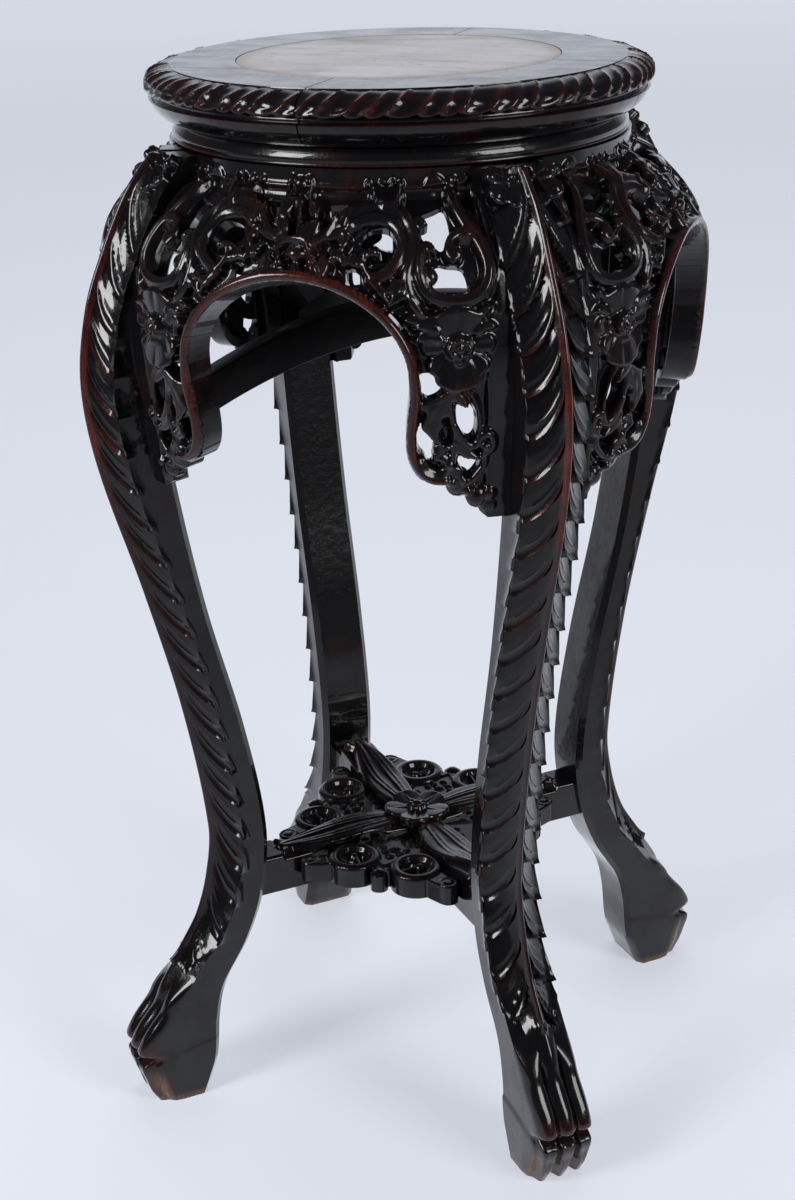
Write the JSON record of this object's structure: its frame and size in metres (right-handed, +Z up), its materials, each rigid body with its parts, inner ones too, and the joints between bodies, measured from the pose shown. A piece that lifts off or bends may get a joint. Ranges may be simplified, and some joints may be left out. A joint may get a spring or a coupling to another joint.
{
  "type": "marble-top pedestal stand",
  "caption": "Round plant stand with an inset marble disc, pierced bowed aprons, cabriole legs with claw feet and a crossed lower stretcher.",
  "frame": {"origin": "on the floor, below the middle of the round top", "axes": "+Z up; the front apron faces -Y and the legs stand on the diagonals"},
  "size_m": [0.5042, 0.5042, 0.914],
  "materials": {
    "lacquered_wood": "high-gloss dark lacquer with red-brown wear on the edges",
    "marble": "honed marble, pale and slightly pink, with faint streaks"
  },
  "bodies": {
    "root": {"apron_arch_back": "lacquered_wood", "apron_arch_front": "lacquered_wood", "apron_arch_left": "lacquered_wood", "apron_arch_right": "lacquered_wood", "apron_ear_back_left": "lacquered_wood", "apron_ear_back_right": "lacquered_wood", "apron_ear_front_left": "lacquered_wood", "apron_ear_front_right": "lacquered_wood", "apron_ear_left_left": "lacquered_wood", "apron_ear_left_right": "lacquered_wood", "apron_ear_right_left": "lacquered_wood", "apron_ear_right_right": "lacquered_wood", "leg_back_left": "lacquered_wood", "leg_back_right": "lacquered_wood", "leg_front_left": "lacquered_wood", "leg_front_right": "lacquered_wood", "marble_disc": "marble", "stretcher_bar_lower": "lacquered_wood", "stretcher_bar_upper": "lacquered_wood", "stretcher_scroll_back": "lacquered_wood", "stretcher_scroll_front": "lacquered_wood", "stretcher_scroll_left": "lacquered_wood", "stretcher_scroll_right": "lacquered_wood", "top_frame_back_left": "lacquered_wood", "top_frame_back_right": "lacquered_wood", "top_frame_front_left": "lacquered_wood", "top_frame_front_right": "lacquered_wood", "upper_brace_lower": "lacquered_wood", "upper_brace_upper": "lacquered_wood", "waist_back": "lacquered_wood", "waist_front": "lacquered_wood", "waist_left": "lacquered_wood", "waist_right": "lacquered_wood"}
  },
  "joints": []
}
